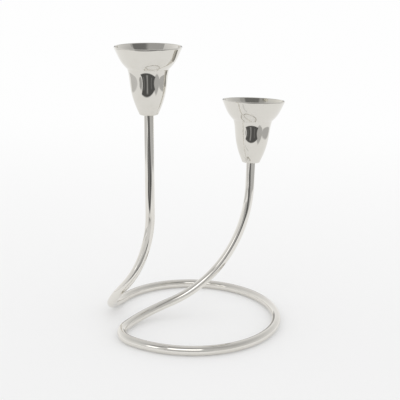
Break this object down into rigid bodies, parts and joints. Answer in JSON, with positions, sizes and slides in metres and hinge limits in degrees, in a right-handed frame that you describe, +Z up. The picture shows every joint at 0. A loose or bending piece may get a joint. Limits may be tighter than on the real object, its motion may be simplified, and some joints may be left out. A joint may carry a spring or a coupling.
{
  "type": "spiral candle holder",
  "caption": "Table candle holder of bent round rod: a ring base whose ends rise as a tall leg and a low leg, each carrying a flared tulip cup with a candle socket.",
  "frame": {"origin": "on the table plane, under the middle of the rod's footprint", "axes": "+Z up, -Y towards the front as pictured, +X to the right"},
  "size_m": [0.1368, 0.1404, 0.2122],
  "materials": {
    "plated_rod": "polished silver plate with fine handling marks",
    "plated_cup": "polished silver plate",
    "screw_steel": "plain steel, slightly dulled",
    "washer_brass": "plain brass"
  },
  "bodies": {
    "root": {"spiral_rod": "plated_rod", "tall_cup": "plated_cup", "low_cup": "plated_cup", "tall_cup_screw": "screw_steel", "low_cup_screw": "screw_steel", "tall_cup_washer": "washer_brass", "low_cup_washer": "washer_brass"}
  },
  "joints": []
}
